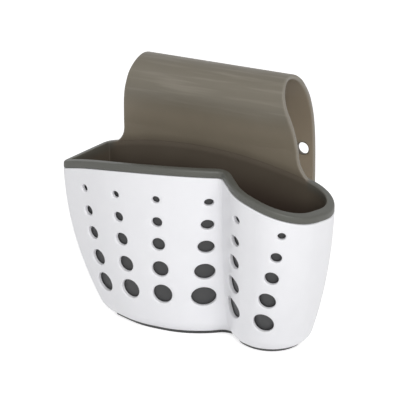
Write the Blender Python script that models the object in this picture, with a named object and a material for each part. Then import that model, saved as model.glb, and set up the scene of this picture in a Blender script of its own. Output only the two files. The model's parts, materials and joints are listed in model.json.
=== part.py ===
"""Faucet sponge holder.

A rigid two-lobed sleeve with graded oval openings holds a soft liner. The liner's rim lies over
the sleeve's edge, its foot comes through the sleeve's open bottom, and its back wall runs up into
a strap that loops over a faucet. The rear flap of the strap is a node of its own, because it
flexes about the crown. Metres, +Z up, front towards -Y, origin at the middle of the bounding box
on the ground.
"""

import math

import bmesh
import bpy
import numpy as np
from mathutils import Vector

# Driving sizes of the basket, in metres
MM = 0.001
OUTLINE_SIZE = 100.0 * MM
BLEND_HEIGHT = 90.0 * MM
BLEND_POWER = 2.1
BOTTOM_FILLET = 9.1 * MM
SLEEVE_WALL = 2.2 * MM
LINER_WALL = 2.0 * MM
FIT_GAP = 0.35 * MM
FOOT_HEIGHT = 1.8 * MM
FOOT_INSET = 6.25 * MM
FOOT_GAP = 0.4 * MM
LINER_FLOOR = 4.2 * MM
INNER_FILLET = 2.6 * MM
SMALLEST_RADIUS = 0.6 * MM

# Rim of the sleeve: highest near the middle and falling towards both ends
RIM_HEIGHT = 94.1 * MM
RIM_DROP = 21.3 * MM
RIM_REACH = 100.0 * MM
RIM_FLANGE = 3.8 * MM
RIM_EDGE = 1.1 * MM
SLEEVE_EDGE = 0.4 * MM
ARCH_POWER = 3

# Sharp corners of the plan outline and their radii, as shares of the outline size, seen from
# above and anticlockwise from the back left. The fifth corner is the crease between the lobes.
RIM_CORNER_SHARES = (
    (-0.628, 0.152, 0.055),
    (-0.687, -0.240, 0.050),
    (-0.340, -0.330, 0.780),
    (0.035, -0.340, 0.760),
    (0.271, -0.160, 0.025),
    (0.442, -0.336, 0.300),
    (0.794, -0.400, 0.227),
    (0.914, 0.152, 0.212),
)
BASE_CORNER_SHARES = (
    (-0.447, 0.105, 0.100),
    (-0.449, -0.178, 0.077),
    (-0.206, -0.258, 0.480),
    (0.113, -0.238, 0.480),
    (0.277, -0.092, 0.039),
    (0.362, -0.188, 0.200),
    (0.671, -0.290, 0.205),
    (0.726, 0.105, 0.120),
)
POINTS_PER_CORNER = 8
FILLET_STEPS = 4
INNER_STEPS = 3
EDGE_SHARE = 0.3
WALL_LEVEL_SHARES = (0.0, 0.07, 0.16, 0.27, 0.39, 0.51, 0.63, 0.75, 0.86, 0.95)

# Graded oval openings of the sleeve: columns that fan in towards the base. Each column has a
# place on the top row and one on the bottom row, as shares of the outline size. The rows' own
# heights are shares of the rim height.
ROW_COUNT = 5
ROW_TOP_SHARE = 0.8512
ROW_STEP_SHARES = (0.0, 0.232, 0.465, 0.729, 1.0)
ROW_BOTTOM_SHARE = 0.2657
ROW_DROP = 10.3 * MM
OVAL_SMALL_WIDTH = 5.6 * MM
OVAL_SMALL_HEIGHT = 4.2 * MM
OVAL_LARGE_WIDTH = 14.2 * MM
OVAL_LARGE_HEIGHT = 11.1 * MM
OVAL_CUT_OUT = 4.0 * MM
OVAL_CUT_IN = 8.0 * MM
FRONT_COLUMN_SHARES = (
    (-0.509, -0.412),
    (-0.290, -0.229),
    (-0.055, -0.038),
    (0.211, 0.175),
    (0.442, 0.379),
    (0.709, 0.588),
)
SIDE_COLUMN_SHARES = (-0.150, -0.110)
OVAL_SEGMENTS = 24

# Strap: a path seen from the side, along its outer face from above the rim over the crown to the
# end of the flap. Each row has its depth, height, left edge and right edge as shares of the outline
# size.
STRAP_THICKNESS = 2.8 * MM
STRAP_PATH_SHARES = (
    (0.094, 1.050, -0.488, 0.584),
    (0.075, 1.140, -0.476, 0.574),
    (0.060, 1.200, -0.465, 0.562),
    (0.050, 1.250, -0.454, 0.548),
    (0.048, 1.292, -0.444, 0.534),
    (0.059, 1.350, -0.432, 0.518),
    (0.088, 1.396, -0.419, 0.506),
    (0.131, 1.426, -0.410, 0.497),
    (0.182, 1.436, -0.406, 0.494),
    (0.240, 1.424, -0.409, 0.496),
    (0.283, 1.401, -0.415, 0.502),
    (0.320, 1.366, -0.424, 0.511),
    (0.368, 1.289, -0.436, 0.523),
    (0.397, 1.208, -0.442, 0.529),
    (0.414, 1.129, -0.448, 0.533),
    (0.424, 1.009, -0.452, 0.537),
    (0.428, 0.833, -0.454, 0.539),
    (0.428, 0.680, -0.454, 0.539),
)
SPAN_STEPS = 2
PANEL_ROWS = 6
PANEL_POWER = 1.5
STRAP_COLUMNS = 15
STRAP_FOOT_SHARES = (-0.540, 0.642)
LEFT_FILLET_POWER = 3.2
RIGHT_FILLET_POWER = 2.6
FLAP_END_RADIUS = 8.0 * MM
FLAP_END_STEPS = 5
CROWN_GAP = 0.35 * MM
CROWN_NOTCH_ANGLE = math.radians(22.0)

# Snap holes in the flap and the knobs on the sleeve's back that they go over, with their places as
# shares of the outline size
SNAP_HOLE_RADIUS = 3.35 * MM
SNAP_COLUMN_SHARES = (-0.384, 0.468)
SNAP_ROW_SHARES = (0.96, 0.74)
KNOB_ROW_SHARE = 0.70
KNOB_NECK_RADIUS = 2.9 * MM
KNOB_NECK_LENGTH = 3.3 * MM
KNOB_HEAD_RADIUS = 4.3 * MM
KNOB_HEAD_LENGTH = 1.9 * MM
KNOB_ROOT = 1.0 * MM
KNOB_EDGE_SHARE = 0.35
KNOB_TOP_SHARE = 0.7
ROUND_SEGMENTS = 28

# Drain openings through the liner's floor
DRAIN_RADIUS = 2.4 * MM
DRAIN_SPOT_SHARES = ((-0.300, -0.055), (-0.150, -0.070), (0.0, -0.075), (0.130, -0.055),
                     (0.420, -0.085), (0.560, -0.090))

# One overrun for all cuts
OVERRUN = 1.0 * MM

SMOOTH_ANGLE = math.radians(35.0)
WHITE = (0.84, 0.84, 0.86, 1.0)
SMOKE = (0.165, 0.148, 0.118, 1.0)
SMOKE_STRAP = (0.19, 0.167, 0.13, 1.0)


def make_collection(name):
    """New collection in the scene."""
    collection = bpy.data.collections.new(name)
    bpy.context.scene.collection.children.link(collection)
    return collection


def make_material(name, colour, roughness):
    """Plain Principled material."""
    material = bpy.data.materials.new(name)
    material.use_nodes = True
    shader = material.node_tree.nodes["Principled BSDF"]
    shader.inputs["Base Color"].default_value = colour
    shader.inputs["Roughness"].default_value = roughness
    shader.inputs["Metallic"].default_value = 0.0
    material.diffuse_color = colour
    return material


def inset_corners(corners, radii, inset):
    """Moves every edge of the sharp outline inwards and fits the corner radii."""
    edges = np.roll(corners, -1, 0) - corners
    edges = edges / np.hypot(edges[:, 0], edges[:, 1])[:, None]
    inward = np.stack([-edges[:, 1], edges[:, 0]], 1)
    moved = []
    fitted = []
    for i in range(len(corners)):
        both = inward[i - 1] + inward[i]
        moved.append(corners[i] + both * inset / (1.0 + inward[i - 1] @ inward[i]))
        turn = edges[i - 1][0] * edges[i][1] - edges[i - 1][1] * edges[i][0]
        if turn > 0.0:
            fitted.append(max(radii[i] - inset, SMALLEST_RADIUS))
        else:
            fitted.append(radii[i] + inset)
    return np.array(moved), np.array(fitted)


def corner_points(corners, radii):
    """Arcs of points at the corners of an outline."""
    points = []
    for i in range(len(corners)):
        here = corners[i]
        before = corners[i - 1] - here
        after = corners[(i + 1) % len(corners)] - here
        before = before / np.hypot(*before)
        after = after / np.hypot(*after)
        half = math.acos(np.clip(before @ after, -1.0, 1.0)) / 2.0
        middle = before + after
        middle = middle / np.hypot(*middle)
        centre = here + middle * radii[i] / math.sin(half)
        tangent = radii[i] / math.tan(half)
        first = here + before * tangent - centre
        last = here + after * tangent - centre
        start = math.atan2(first[1], first[0])
        sweep = math.atan2(last[1], last[0]) - start
        sweep = (sweep + math.pi) % (2.0 * math.pi) - math.pi
        for step in range(POINTS_PER_CORNER):
            angle = start + sweep * step / (POINTS_PER_CORNER - 1)
            spot = centre + radii[i] * np.array((math.cos(angle), math.sin(angle)))
            points.append(spot)
    return points


def round_corners(corners, radii):
    """Outline with arcs at the corners and the strap's columns along the back edge."""
    points = corner_points(corners, radii)
    right = points[-1]
    left = points[0]
    start, end = BACK_SHARES
    for step in range(STRAP_COLUMNS):
        share = start + (end - start) * step / (STRAP_COLUMNS - 1)
        points.append(right + (left - right) * share)
    return np.array(points)


def section(height, depth, extra=0.0):
    """Plan outline of the surface that lies a depth inside the sleeve's outer face."""
    share = max(0.0, (BLEND_HEIGHT - height) / BLEND_HEIGHT) ** BLEND_POWER
    blend = RIM_CORNERS + (BASE_CORNERS - RIM_CORNERS) * share
    inset = depth + extra
    reach = BOTTOM_FILLET - depth
    if extra == 0.0 and height < BOTTOM_FILLET:
        rise = min(BOTTOM_FILLET - height, reach)
        inset = BOTTOM_FILLET - math.sqrt(reach ** 2 - rise ** 2)
    corners, radii = inset_corners(blend[:, :2], blend[:, 2], inset)
    return round_corners(corners, radii)


def rim_line(x):
    """Height of the sleeve's top edge."""
    return RIM_HEIGHT - RIM_DROP * (x / RIM_REACH) ** 2


def ring(level, depth, lift=0.0, extra=0.0):
    """Closed row of points at a level that bends with the rim as it nears it."""
    nominal = section(level, depth, extra)
    share = (level / RIM_HEIGHT) ** ARCH_POWER
    heights = level + share * (rim_line(nominal[:, 0]) - RIM_HEIGHT)
    points = []
    for i in range(len(nominal)):
        spot = section(heights[i], depth, extra)[i]
        height = heights[i] + share * (rim_line(spot[0]) - rim_line(nominal[i, 0])) + lift
        points.append((spot[0], spot[1], height))
    return np.array(points)


def floor_ring(height, inset):
    """Flat row of points at the foot or on the floor."""
    blend_share = max(0.0, (BLEND_HEIGHT - height) / BLEND_HEIGHT) ** BLEND_POWER
    blend = RIM_CORNERS + (BASE_CORNERS - RIM_CORNERS) * blend_share
    corners, radii = inset_corners(blend[:, :2], blend[:, 2], inset)
    outline = round_corners(corners, radii)
    return np.column_stack([outline, np.full(len(outline), height)])


def arc_levels(depth, start_height):
    """Heights of the rows on the bottom fillet, from the lowest one up."""
    reach = BOTTOM_FILLET - depth
    start = math.acos((BOTTOM_FILLET - start_height) / reach)
    heights = []
    for step in range(FILLET_STEPS):
        angle = start + (math.pi / 2.0 - start) * step / FILLET_STEPS
        heights.append(BOTTOM_FILLET - reach * math.cos(angle))
    return heights


def wall_levels():
    """Heights of the rows on the wall, from the top of the fillet to below the rim."""
    heights = []
    for share in WALL_LEVEL_SHARES:
        heights.append(BOTTOM_FILLET + (RIM_HEIGHT - BOTTOM_FILLET) * share)
    return heights


RIM_CORNERS = np.array(RIM_CORNER_SHARES) * OUTLINE_SIZE
BASE_CORNERS = np.array(BASE_CORNER_SHARES) * OUTLINE_SIZE
LINER_OUTER = SLEEVE_WALL + FIT_GAP
LINER_INNER = LINER_OUTER + LINER_WALL


def fit_back_shares():
    """Shares of the inner rim's back edge, from the right, between which the strap stands."""
    points = corner_points(*inset_corners(RIM_CORNERS[:, :2], RIM_CORNERS[:, 2], LINER_INNER))
    right = points[-1][0]
    left = points[0][0]
    left_foot, right_foot = np.array(STRAP_FOOT_SHARES) * OUTLINE_SIZE
    return (right - right_foot) / (right - left), (right - left_foot) / (right - left)


BACK_SHARES = fit_back_shares()
RING_COUNT = POINTS_PER_CORNER * len(RIM_CORNER_SHARES) + STRAP_COLUMNS
FIRST_COLUMN = RING_COUNT - STRAP_COLUMNS


def spline(table):
    """Smooth curve through the rows of a table."""
    padded = np.vstack([2.0 * table[0] - table[1], table, 2.0 * table[-1] - table[-2]])
    rows = [table[0]]
    for i in range(len(table) - 1):
        p0, p1, p2, p3 = padded[i], padded[i + 1], padded[i + 2], padded[i + 3]
        for step in range(SPAN_STEPS):
            t = (step + 1) / SPAN_STEPS
            rows.append(0.5 * (2.0 * p1 + (p2 - p0) * t
                               + (2.0 * p0 - 5.0 * p1 + 4.0 * p2 - p3) * t ** 2
                               + (3.0 * p1 - p0 - 3.0 * p2 + p3) * t ** 3))
    return np.array(rows)


def strap_rows():
    """Rows of the strap (outer y, outer z, left, right), its inner side and the crown's row."""
    rows = spline(np.array(STRAP_PATH_SHARES) * OUTLINE_SIZE)
    slope = np.gradient(rows[:, :2], axis=0)
    slope = slope / np.hypot(slope[:, 0], slope[:, 1])[:, None]
    inner = rows[:, :2] + STRAP_THICKNESS * np.stack([slope[:, 1], -slope[:, 0]], 1)
    return rows, inner, int(np.argmax(rows[:, 1]))


def link(mesh_name, vertices, faces, collection, material):
    """Object from points and faces, with outward normals."""
    mesh = bpy.data.meshes.new(mesh_name)
    mesh.from_pydata([tuple(v) for v in vertices], [], faces)
    work = bmesh.new()
    work.from_mesh(mesh)
    bmesh.ops.recalc_face_normals(work, faces=work.faces)
    work.to_mesh(mesh)
    work.free()
    obj = bpy.data.objects.new(mesh_name, mesh)
    obj.data.materials.append(material)
    collection.objects.link(obj)
    return obj


def bridge(faces, low, high, count, skip=()):
    """Quads between two rows of points, leaving out the listed steps."""
    for i in range(count):
        if i in skip:
            continue
        j = (i + 1) % count
        faces.append((low + i, low + j, high + j, high + i))


def cut(target, cutter):
    """Exact Boolean difference, applied."""
    modifier = target.modifiers.new("cut", "BOOLEAN")
    modifier.operation = "DIFFERENCE"
    modifier.solver = "EXACT"
    modifier.object = cutter
    apply_modifiers(target)


def join_solids(target, other):
    """Exact Boolean union, applied."""
    modifier = target.modifiers.new("join", "BOOLEAN")
    modifier.operation = "UNION"
    modifier.solver = "EXACT"
    modifier.object = other
    apply_modifiers(target)


def apply_modifiers(obj):
    """Bakes the modifiers into the mesh."""
    bpy.context.view_layer.update()
    graph = bpy.context.evaluated_depsgraph_get()
    mesh = bpy.data.meshes.new_from_object(obj.evaluated_get(graph))
    obj.modifiers.clear()
    old = obj.data
    obj.data = mesh
    bpy.data.meshes.remove(old)


def shade(obj):
    """Smooth shading with kept edges."""
    for polygon in obj.data.polygons:
        polygon.use_smooth = True
    obj.data.set_sharp_from_angle(angle=SMOOTH_ANGLE)


def sleeve_body(collection, material):
    """Two-lobed sleeve, open at the top and at the bottom."""
    rows = []
    for height in arc_levels(0.0, FOOT_HEIGHT):
        rows.append(ring(height, 0.0))
    for height in wall_levels():
        rows.append(ring(height, 0.0))
    rows.append(ring(RIM_HEIGHT, 0.0, -SLEEVE_EDGE))
    rows.append(ring(RIM_HEIGHT, SLEEVE_EDGE))
    rows.append(ring(RIM_HEIGHT, SLEEVE_WALL))
    for height in reversed(wall_levels()):
        rows.append(ring(height, SLEEVE_WALL))
    for height in reversed(arc_levels(SLEEVE_WALL, lip_height())):
        rows.append(ring(height, SLEEVE_WALL))
    rows.append(floor_ring(FOOT_HEIGHT, FOOT_INSET - FOOT_GAP))
    vertices = np.concatenate(rows)
    faces = []
    for i in range(len(rows)):
        bridge(faces, i * RING_COUNT, (i + 1) % len(rows) * RING_COUNT, RING_COUNT)
    return link("outer_shell", vertices, faces, collection, material)


def lip_height():
    """Height at which the sleeve's inner fillet meets the lip around the foot."""
    reach = BOTTOM_FILLET - SLEEVE_WALL
    side = BOTTOM_FILLET - (FOOT_INSET - FOOT_GAP)
    return BOTTOM_FILLET - math.sqrt(reach ** 2 - side ** 2)


def front_spot(height, x):
    """Point and outward direction on the front of the sleeve at a place along X."""
    outline = section(height, 0.0)
    first = POINTS_PER_CORNER
    last = POINTS_PER_CORNER * (len(RIM_CORNER_SHARES) - 1)
    for i in range(first, last):
        here = outline[i]
        after = outline[i + 1]
        if here[0] <= x < after[0]:
            share = (x - here[0]) / (after[0] - here[0])
            spot = here + (after - here) * share
            along = outline[min(i + 2, last)] - outline[i - 1]
            along = along / np.hypot(*along)
            return Vector((spot[0], spot[1], height)), Vector((along[1], -along[0], 0.0))
    return None, None


def side_spot(height, y):
    """Point and outward direction on the left side of the sleeve."""
    outline = section(height, 0.0)
    last = POINTS_PER_CORNER * 2
    for i in range(last):
        here = outline[i]
        after = outline[i + 1]
        if after[1] <= y < here[1]:
            spot = here + (after - here) * (y - here[1]) / (after[1] - here[1])
            along = after - here
            along = along / np.hypot(*along)
            return Vector((spot[0], spot[1], height)), Vector((along[1], -along[0], 0.0))
    return None, None


def oval_cutter(work, spot, outward, width, height):
    """Adds an oval prism that runs through the wall at a spot."""
    made = bmesh.ops.create_cone(work, cap_ends=True, segments=OVAL_SEGMENTS, radius1=0.5,
                                 radius2=0.5, depth=1.0)
    side = Vector((-outward.y, outward.x, 0.0))
    for vertex in made["verts"]:
        place = vertex.co.copy()
        out = OVAL_CUT_OUT if place.z > 0.0 else -OVAL_CUT_IN
        rise = Vector((0.0, 0.0, place.y * height))
        vertex.co = spot + side * place.x * width + rise + outward * out


def front_column(collection, number, top, bottom):
    """One column of oval openings on the front as a cutter."""
    work = bmesh.new()
    for row in range(ROW_COUNT):
        share = ROW_STEP_SHARES[row]
        x = (top + (bottom - top) * share) * OUTLINE_SIZE
        height = row_height(share, x)
        spot, outward = front_spot(height, x)
        oval_cutter(work, spot, outward, *oval_size(row))
    return finish_cutter("front_column_" + str(number), work, collection)


def side_column(collection):
    """The column of oval openings on the left side as a cutter."""
    top, bottom = SIDE_COLUMN_SHARES
    work = bmesh.new()
    for row in range(ROW_COUNT):
        share = ROW_STEP_SHARES[row]
        y = (top + (bottom - top) * share) * OUTLINE_SIZE
        height = row_height(share, RIM_CORNERS[1][0])
        spot, outward = side_spot(height, y)
        oval_cutter(work, spot, outward, *oval_size(row))
    return finish_cutter("side_column", work, collection)


def row_height(share, x):
    """Height of a row of openings, which falls towards the ends as the rim does."""
    level = RIM_HEIGHT * (ROW_TOP_SHARE + (ROW_BOTTOM_SHARE - ROW_TOP_SHARE) * share)
    return level - ROW_DROP * (x / RIM_REACH) ** 2


def oval_size(row):
    """Width and height of the openings of a row."""
    share = row / (ROW_COUNT - 1)
    width = OVAL_SMALL_WIDTH + (OVAL_LARGE_WIDTH - OVAL_SMALL_WIDTH) * share
    return width, OVAL_SMALL_HEIGHT + (OVAL_LARGE_HEIGHT - OVAL_SMALL_HEIGHT) * share


def hide_cutter(obj, collection):
    """Puts a cutter where it is left out."""
    collection.objects.link(obj)
    obj.hide_render = True
    obj.display_type = "WIRE"


def back_line(height, depth):
    """Y of the straight back wall at a height."""
    outline = section(height, depth)
    return outline[FIRST_COLUMN][1]


def make_knob(name, x, collection):
    """Mushroom knob on the sleeve's back, as a turned profile along +Y."""
    height = KNOB_ROW_SHARE * OUTLINE_SIZE
    wall = back_line(height, 0.0)
    head_start = wall + KNOB_NECK_LENGTH
    head_end = head_start + KNOB_HEAD_LENGTH
    profile = (
        (0.0, wall - KNOB_ROOT),
        (KNOB_NECK_RADIUS, wall - KNOB_ROOT),
        (KNOB_NECK_RADIUS, head_start),
        (KNOB_HEAD_RADIUS, head_start + KNOB_HEAD_LENGTH * KNOB_EDGE_SHARE),
        (KNOB_HEAD_RADIUS * KNOB_TOP_SHARE, head_end),
        (0.0, head_end),
    )
    vertices = []
    faces = []
    vertices.append((x, profile[0][1], height))
    for radius, y in profile[1:-1]:
        for step in range(ROUND_SEGMENTS):
            angle = 2.0 * math.pi * step / ROUND_SEGMENTS
            vertices.append((x + radius * math.cos(angle), y, height + radius * math.sin(angle)))
    vertices.append((x, profile[-1][1], height))
    rows = len(profile) - 2
    for row in range(rows - 1):
        bridge(faces, 1 + row * ROUND_SEGMENTS, 1 + (row + 1) * ROUND_SEGMENTS, ROUND_SEGMENTS)
    last = 1 + (rows - 1) * ROUND_SEGMENTS
    for step in range(ROUND_SEGMENTS):
        after = (step + 1) % ROUND_SEGMENTS
        faces.append((0, 1 + after, 1 + step))
        faces.append((last + step, last + after, len(vertices) - 1))
    mesh = bpy.data.meshes.new(name)
    mesh.from_pydata(vertices, [], faces)
    work = bmesh.new()
    work.from_mesh(mesh)
    bmesh.ops.recalc_face_normals(work, faces=work.faces)
    work.to_mesh(mesh)
    work.free()
    obj = bpy.data.objects.new(name, mesh)
    hide_cutter(obj, collection)
    return obj


def liner_body(collection, material):
    """Soft liner with its foot, rim flange, pocket and the front of the strap."""
    rows = []
    rows.append(floor_ring(0.0, FOOT_INSET))
    reach = BOTTOM_FILLET - LINER_OUTER
    side = BOTTOM_FILLET - FOOT_INSET
    shoulder = BOTTOM_FILLET - math.sqrt(reach ** 2 - side ** 2)
    rows.append(floor_ring(shoulder, FOOT_INSET))
    for height in arc_levels(LINER_OUTER, shoulder)[1:]:
        rows.append(ring(height, LINER_OUTER))
    for height in wall_levels():
        rows.append(ring(height, LINER_OUTER))
    rows.append(ring(RIM_HEIGHT, LINER_OUTER, FIT_GAP))
    rows.append(ring(RIM_HEIGHT, 0.0, FIT_GAP))
    rows.append(ring(RIM_HEIGHT, 0.0, FIT_GAP + RIM_FLANGE - RIM_EDGE))
    rows.append(ring(RIM_HEIGHT, RIM_EDGE * EDGE_SHARE, FIT_GAP + RIM_FLANGE - RIM_EDGE * EDGE_SHARE))
    rows.append(ring(RIM_HEIGHT, RIM_EDGE, FIT_GAP + RIM_FLANGE))
    behind = len(rows)
    rows.append(ring(RIM_HEIGHT, LINER_INNER - STRAP_THICKNESS, FIT_GAP + RIM_FLANGE))
    ahead = len(rows)
    rows.append(ring(RIM_HEIGHT, LINER_INNER, FIT_GAP + RIM_FLANGE))
    for height in reversed(wall_levels()):
        if height > LINER_FLOOR + INNER_FILLET:
            rows.append(ring(height, LINER_INNER, 0.0, 0.0))
    for step in range(INNER_STEPS + 1):
        angle = math.pi / 2.0 * step / INNER_STEPS
        height = LINER_FLOOR + INNER_FILLET * (1.0 - math.sin(angle))
        rows.append(floor_ring(height, inner_inset() + INNER_FILLET * (1.0 - math.cos(angle))))
    vertices = [tuple(v) for v in np.concatenate(rows)]
    faces = []
    inside = tuple(range(FIRST_COLUMN, RING_COUNT - 1))
    for i in range(len(rows) - 1):
        skip = inside if i == behind else ()
        bridge(faces, i * RING_COUNT, (i + 1) * RING_COUNT, RING_COUNT, skip)
    faces.append(tuple(reversed(range(RING_COUNT))))
    faces.append(tuple(range((len(rows) - 1) * RING_COUNT, len(rows) * RING_COUNT)))
    add_panel(vertices, faces, behind * RING_COUNT + FIRST_COLUMN, ahead * RING_COUNT + FIRST_COLUMN)
    return link("liner", vertices, faces, collection, material)


def inner_inset():
    """Inset of the pocket's wall where the floor fillet starts."""
    reach = BOTTOM_FILLET - LINER_INNER
    rise = min(BOTTOM_FILLET - (LINER_FLOOR + INNER_FILLET), reach)
    return BOTTOM_FILLET - math.sqrt(reach ** 2 - rise ** 2)


def add_panel(vertices, faces, back_row, front_row):
    """Strap from the rim to the crown, standing on the rim's two back rows."""
    rows, inner, crown = strap_rows()
    front_rows = [front_row]
    back_rows = [back_row]
    front_foot = np.array(vertices[front_row:front_row + STRAP_COLUMNS])
    back_foot = np.array(vertices[back_row:back_row + STRAP_COLUMNS])
    top_front = strap_line(*rows[0])
    top_back = strap_line(*inner[0], *rows[0][2:])
    for step in range(1, PANEL_ROWS):
        share = step / PANEL_ROWS
        front_rows.append(len(vertices))
        vertices.extend(panel_line(front_foot, top_front, share ** PANEL_POWER))
        back_rows.append(len(vertices))
        vertices.extend(panel_line(back_foot, top_back, share ** PANEL_POWER))
    for i in range(crown + 1):
        front_rows.append(len(vertices))
        shift = end_shift(i, crown)
        vertices.extend(strap_line(rows[i][0] - shift, *rows[i][1:]))
        back_rows.append(len(vertices))
        vertices.extend(strap_line(inner[i][0] - shift, inner[i][1], *rows[i][2:]))
    stitch_strap(faces, front_rows, back_rows)


def end_shift(index, last):
    """Half of the gap at the crown, for the last row only."""
    return CROWN_GAP / 2.0 if index == last else 0.0


def strap_line(y, z, left, right):
    """One row of strap points, from the right to the left."""
    row = []
    for step in range(STRAP_COLUMNS):
        share = step / (STRAP_COLUMNS - 1)
        row.append((right + (left - right) * share, y, z))
    return row


def panel_line(foot, top, share):
    """Row between the rim and the straight part of the panel, flared at both sides."""
    row = []
    for step in range(STRAP_COLUMNS):
        right_share = 1.0 - step / (STRAP_COLUMNS - 1)
        decay_right = (1.0 - share) ** RIGHT_FILLET_POWER
        decay_left = (1.0 - share) ** LEFT_FILLET_POWER
        decay = decay_left + (decay_right - decay_left) * right_share
        x = top[step][0] + (foot[step][0] - top[step][0]) * decay
        y = foot[step][1] + (top[step][1] - foot[step][1]) * share
        z = foot[step][2] + (top[step][2] - foot[step][2]) * share
        row.append((x, y, z))
    return row


def stitch_strap(faces, front_rows, back_rows):
    """Faces of a strap whose first rows stand on the rim."""
    last = STRAP_COLUMNS - 1
    for i in range(len(front_rows) - 1):
        for j in range(last):
            faces.append((front_rows[i] + j, front_rows[i + 1] + j,
                          front_rows[i + 1] + j + 1, front_rows[i] + j + 1))
            faces.append((back_rows[i] + j + 1, back_rows[i + 1] + j + 1,
                          back_rows[i + 1] + j, back_rows[i] + j))
        for j in (0, last):
            faces.append((front_rows[i] + j, back_rows[i] + j,
                          back_rows[i + 1] + j, front_rows[i + 1] + j))
    for j in range(last):
        faces.append((front_rows[-1] + j, back_rows[-1] + j,
                      back_rows[-1] + j + 1, front_rows[-1] + j + 1))


def flap_body(collection, material):
    """Rear of the strap, from the crown down behind the basket, with a rounded end."""
    rows, inner, crown = strap_rows()
    vertices = []
    faces = []
    front_rows = []
    back_rows = []
    notch = STRAP_THICKNESS * math.tan(CROWN_NOTCH_ANGLE)
    for i in range(crown, len(rows)):
        shift = CROWN_GAP / 2.0 if i == crown else 0.0
        inner_shift = shift + notch if i == crown else 0.0
        front_rows.append(len(vertices))
        vertices.extend(strap_line(rows[i][0] + shift, *rows[i][1:]))
        back_rows.append(len(vertices))
        vertices.extend(strap_line(inner[i][0] + inner_shift, inner[i][1], *rows[i][2:]))
    for step in range(1, FLAP_END_STEPS + 1):
        angle = math.pi / 2.0 * step / FLAP_END_STEPS
        height = rows[-1][1] - FLAP_END_RADIUS * math.sin(angle)
        left = rows[-1][2] + FLAP_END_RADIUS * (1.0 - math.cos(angle))
        right = rows[-1][3] - FLAP_END_RADIUS * (1.0 - math.cos(angle))
        front_rows.append(len(vertices))
        vertices.extend(strap_line(rows[-1][0], height, left, right))
        back_rows.append(len(vertices))
        vertices.extend(strap_line(inner[-1][0], height, left, right))
    stitch_strap(faces, front_rows, back_rows)
    for j in range(STRAP_COLUMNS - 1):
        faces.append((front_rows[0] + j + 1, back_rows[0] + j + 1,
                      back_rows[0] + j, front_rows[0] + j))
    return link("strap_flap", vertices, faces, collection, material)


def round_cutter(work, spot, direction, radius, length):
    """Adds a round prism centred on a spot."""
    turn = Vector((0.0, 0.0, 1.0)).rotation_difference(direction).to_matrix().to_4x4()
    made = bmesh.ops.create_cone(work, cap_ends=True, segments=ROUND_SEGMENTS, radius1=radius,
                                 radius2=radius, depth=length)
    for vertex in made["verts"]:
        vertex.co = turn @ vertex.co + spot


def make_snap_cutters(collection):
    """Snap holes as one cutter."""
    rows, inner, crown = strap_rows()
    work = bmesh.new()
    for row_share in SNAP_ROW_SHARES:
        height = row_share * OUTLINE_SIZE
        outer_y = np.interp(-height, -rows[crown:, 1], rows[crown:, 0])
        for column_share in SNAP_COLUMN_SHARES:
            x = column_share * OUTLINE_SIZE
            spot = Vector((x, outer_y - STRAP_THICKNESS / 2.0, height))
            round_cutter(work, spot, Vector((0.0, 1.0, 0.0)), SNAP_HOLE_RADIUS,
                         STRAP_THICKNESS + 2.0 * OVERRUN)
    return finish_cutter("snap_cutters", work, collection)


def make_drain_cutters(collection):
    """Drain openings as one cutter."""
    work = bmesh.new()
    for along, across in DRAIN_SPOT_SHARES:
        spot = Vector((along * OUTLINE_SIZE, across * OUTLINE_SIZE, LINER_FLOOR / 2.0))
        round_cutter(work, spot, Vector((0.0, 0.0, 1.0)), DRAIN_RADIUS,
                     LINER_FLOOR + 2.0 * OVERRUN)
    return finish_cutter("drain_cutters", work, collection)


def finish_cutter(name, work, collection):
    """Cutter object from a work mesh."""
    mesh = bpy.data.meshes.new(name)
    work.to_mesh(mesh)
    work.free()
    obj = bpy.data.objects.new(name, mesh)
    hide_cutter(obj, collection)
    return obj


def move_mesh(obj, shift):
    """Moves the points of a mesh."""
    for vertex in obj.data.vertices:
        vertex.co += shift


def main():
    """Builds the whole part."""
    for obj in list(bpy.data.objects):
        bpy.data.objects.remove(obj, do_unlink=True)
    parts = make_collection("faucet_sponge_holder")
    cutters = make_collection("cutters")
    shell = sleeve_body(parts, make_material("sleeve_white", WHITE, 0.35))
    for number, (top, bottom) in enumerate(FRONT_COLUMN_SHARES):
        cut(shell, front_column(cutters, number + 1, top, bottom))
    cut(shell, side_column(cutters))
    for name, share in zip(("knob_left", "knob_right"), SNAP_COLUMN_SHARES):
        join_solids(shell, make_knob(name, share * OUTLINE_SIZE, cutters))
    liner = liner_body(parts, make_material("liner_smoke", SMOKE, 0.55))
    cut(liner, make_drain_cutters(cutters))
    flap = flap_body(parts, make_material("strap_smoke", SMOKE_STRAP, 0.5))
    cut(flap, make_snap_cutters(cutters))
    low = np.array((math.inf, math.inf, math.inf))
    high = -low
    for obj in (shell, liner, flap):
        spots = np.array([tuple(v.co) for v in obj.data.vertices])
        low = np.minimum(low, spots.min(0))
        high = np.maximum(high, spots.max(0))
        shade(obj)
    shift = Vector((-(low[0] + high[0]) / 2.0, -(low[1] + high[1]) / 2.0, 0.0))
    rows, inner, crown = strap_rows()
    middle = (rows[crown][2] + rows[crown][3]) / 2.0
    axis = Vector((middle, rows[crown][0], rows[crown][1])) + shift
    for obj in list(parts.objects) + list(cutters.objects):
        move_mesh(obj, shift)
    move_mesh(flap, -axis)
    flap.location = axis
    print("low", np.round(low, 5), "high", np.round(high, 5))
    print("shift", [round(c, 6) for c in shift], "crown axis", [round(c, 6) for c in axis])


main()
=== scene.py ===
# %% [markdown]
# # A faucet sponge holder
# A rigid white sleeve with two lobes holds a soft smoke-grey liner. The back of the liner runs up
# into a broad strap that loops over a faucet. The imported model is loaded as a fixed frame, and the
# pieces are built round it from the same few driving sizes.

import functools
import json
import math

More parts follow.
